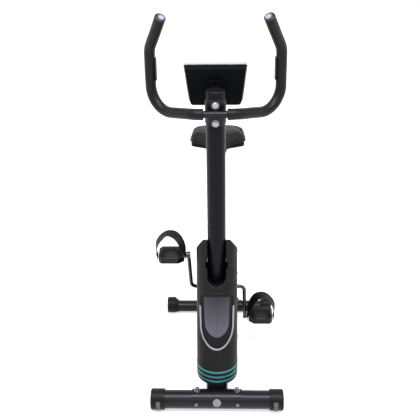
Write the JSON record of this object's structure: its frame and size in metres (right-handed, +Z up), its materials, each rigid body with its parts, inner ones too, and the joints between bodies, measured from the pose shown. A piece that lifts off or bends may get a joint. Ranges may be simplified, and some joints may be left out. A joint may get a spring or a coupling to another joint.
{
  "type": "upright exercise bike",
  "caption": "Upright magnetic exercise bike with a tall front post, swept handlebar, tilted console, narrow drive shroud, strapped pedals and a padded seat on a sliding post.",
  "frame": {"origin": "bottom centre of the whole object's box, on the floor", "axes": "+Z up, the front of the bike faces -Y, the rider faces -Y from the +Y side, +X is the right of a viewer who faces the front"},
  "size_m": [0.46, 0.7684, 1.3217],
  "materials": {
    "tube_black": "semi-gloss powder coat",
    "cap_plastic": "fine texture",
    "wheel_rubber": "smooth",
    "bolt_steel": "zinc plated",
    "badge_plastic": "plain",
    "nut_dark": "black zinc",
    "plain_steel": "plain",
    "crank_chrome": "polished",
    "pulley_plastic": "moulded",
    "belt_rubber": "ribbed",
    "flywheel_iron": "turned rim",
    "magnet_metal": "nickel plated",
    "cable_sheath": "smooth",
    "knob_plastic": "moulded",
    "shroud_plastic": "fine satin",
    "shield_plastic": "satin sheen",
    "trim_plastic": "satin",
    "accent_plastic": "gloss",
    "screw_black": "black oxide",
    "grip_foam": "fine foam",
    "plug_plastic": "gloss",
    "sensor_plastic": "satin",
    "console_plastic": "satin",
    "bezel_plastic": "silver",
    "lens_plastic": "gloss",
    "board_laminate": "printed",
    "button_rubber": "soft touch",
    "seat_post_steel": "semi-gloss powder coat",
    "seat_pan_plastic": "textured",
    "seat_vinyl": "soft vinyl",
    "pedal_plastic": "ribbed tread",
    "strap_rubber": "matt"
  },
  "bodies": {
    "frame": {"front_stabiliser_tube": "tube_black", "rear_stabiliser_tube": "tube_black", "frame_spine": "tube_black", "frame_seat_tube": "tube_black", "frame_rear_leg": "tube_black", "frame_mast": "tube_black", "handlebar_post": "tube_black", "handlebar_bracket": "tube_black", "handlebar_tube": "tube_black", "front_caps": "cap_plastic", "post_cap": "cap_plastic", "transport_wheel_axles": "bolt_steel", "badge_disc": "badge_plastic", "stabiliser_face_screws": "nut_dark", "frame_bolts": "bolt_steel", "frame_washers": "bolt_steel", "frame_dome_nuts": "nut_dark", "crank_bearings": "plain_steel", "drive_belt": "belt_rubber", "flywheel_axle": "plain_steel", "flywheel_bracket": "plain_steel", "brake_spring": "plain_steel", "tension_cable": "cable_sheath", "shroud_left": "shroud_plastic", "shroud_right": "shroud_plastic", "shroud_shield": "shield_plastic", "shroud_trim_line": "trim_plastic", "shroud_stripes": "accent_plastic", "shroud_screws": "screw_black", "grips": "grip_foam", "grip_plugs": "plug_plastic", "pulse_sensors": "sensor_plastic", "console_back": "console_plastic", "console_bezel": "bezel_plastic", "console_lens": "lens_plastic", "console_board": "board_laminate", "seat_bushing": "cap_plastic"},
    "crank": {"crank": "crank_chrome", "crank_pulley": "pulley_plastic", "pedal_spindles": "crank_chrome"},
    "pedal_left_unit": {"pedal_left": "pedal_plastic", "pedal_strap_left": "strap_rubber"},
    "pedal_right_unit": {"pedal_right": "pedal_plastic", "pedal_strap_right": "strap_rubber"},
    "flywheel_unit": {"flywheel": "flywheel_iron"},
    "brake_yoke": {"magnet_bracket": "plain_steel", "brake_magnets": "magnet_metal"},
    "tension_dial": {"tension_knob": "knob_plastic"},
    "seat_unit": {"seat_post": "seat_post_steel", "seat_base": "seat_pan_plastic", "seat_cushion": "seat_vinyl"},
    "seat_pull_pin": {"seat_knob": "knob_plastic"},
    "transport_wheel_left_unit": {"transport_wheel_left": "wheel_rubber"},
    "transport_wheel_right_unit": {"transport_wheel_right": "wheel_rubber"},
    "levelling_cap_left_unit": {"rear_levelling_cap_left": "cap_plastic"},
    "levelling_cap_right_unit": {"rear_levelling_cap_right": "cap_plastic"},
    "button_left_unit": {"console_button_left": "button_rubber"},
    "button_middle_unit": {"console_button_middle": "button_rubber"},
    "button_right_unit": {"console_button_right": "button_rubber"}
  },
  "joints": [
    {"name": "crank_spin", "type": "hinge", "parent": "frame", "child": "crank", "pos_m": [0, 0.00125, 0.3], "axis": [1, 0, 0], "continuous": true},
    {"name": "pedal_left_spin", "type": "hinge", "parent": "crank", "child": "pedal_left_unit", "pos_m": [-0.168, -0.05786, 0.45726], "axis": [1, 0, 0], "continuous": true},
    {"name": "pedal_right_spin", "type": "hinge", "parent": "crank", "child": "pedal_right_unit", "pos_m": [0.168, 0.06036, 0.14274], "axis": [1, 0, 0], "continuous": true},
    {"name": "flywheel_spin", "type": "hinge", "parent": "frame", "child": "flywheel_unit", "pos_m": [0, -0.19575, 0.236], "axis": [1, 0, 0], "continuous": true},
    {"name": "brake_swing", "type": "hinge", "parent": "frame", "child": "brake_yoke", "pos_m": [0, -0.14975, 0.326], "axis": [1, 0, 0], "range_deg": [0, 12]},
    {"name": "tension_turn", "type": "hinge", "parent": "frame", "child": "tension_dial", "pos_m": [0, -0.21729, 0.8], "axis": [0, 0.9966, 0.0819], "range_deg": [0, 270]},
    {"name": "seat_height", "type": "slide", "parent": "frame", "child": "seat_unit", "axis": [0, 0.342, 0.9397], "range_m": [-0.05, 0.1]},
    {"name": "seat_pin_pull", "type": "slide", "parent": "frame", "child": "seat_pull_pin", "axis": [0, 0.9397, -0.342], "range_m": [0, 0.01], "stiffness_N_per_m": 1500, "springref_m": -0.003},
    {"name": "transport_wheel_left_spin", "type": "hinge", "parent": "frame", "child": "transport_wheel_left_unit", "pos_m": [-0.203, -0.35625, 0.03], "axis": [1, 0, 0], "continuous": true},
    {"name": "transport_wheel_right_spin", "type": "hinge", "parent": "frame", "child": "transport_wheel_right_unit", "pos_m": [0.203, -0.35625, 0.03], "axis": [1, 0, 0], "continuous": true},
    {"name": "levelling_cap_left_turn", "type": "hinge", "parent": "frame", "child": "levelling_cap_left_unit", "pos_m": [-0.207, 0.34925, 0.0285], "axis": [1, 0, 0], "range_deg": [-90, 90]},
    {"name": "levelling_cap_right_turn", "type": "hinge", "parent": "frame", "child": "levelling_cap_right_unit", "pos_m": [0.207, 0.34925, 0.0285], "axis": [1, 0, 0], "range_deg": [-90, 90]},
    {"name": "button_left_press", "type": "slide", "parent": "frame", "child": "button_left_unit", "axis": [0, -0.9272, -0.3746], "range_m": [0, 0.001], "stiffness_N_per_m": 800, "springref_m": -0.0006},
    {"name": "button_middle_press", "type": "slide", "parent": "frame", "child": "button_middle_unit", "axis": [0, -0.9272, -0.3746], "range_m": [0, 0.001], "stiffness_N_per_m": 800, "springref_m": -0.0006},
    {"name": "button_right_press", "type": "slide", "parent": "frame", "child": "button_right_unit", "axis": [0, -0.9272, -0.3746], "range_m": [0, 0.001], "stiffness_N_per_m": 800, "springref_m": -0.0006}
  ],
  "couplings": [
    {"joint": "flywheel_spin", "follows": "crank_spin", "ratio": 5},
    {"joint": "brake_swing", "follows": "tension_turn", "ratio": 0.044444}
  ]
}
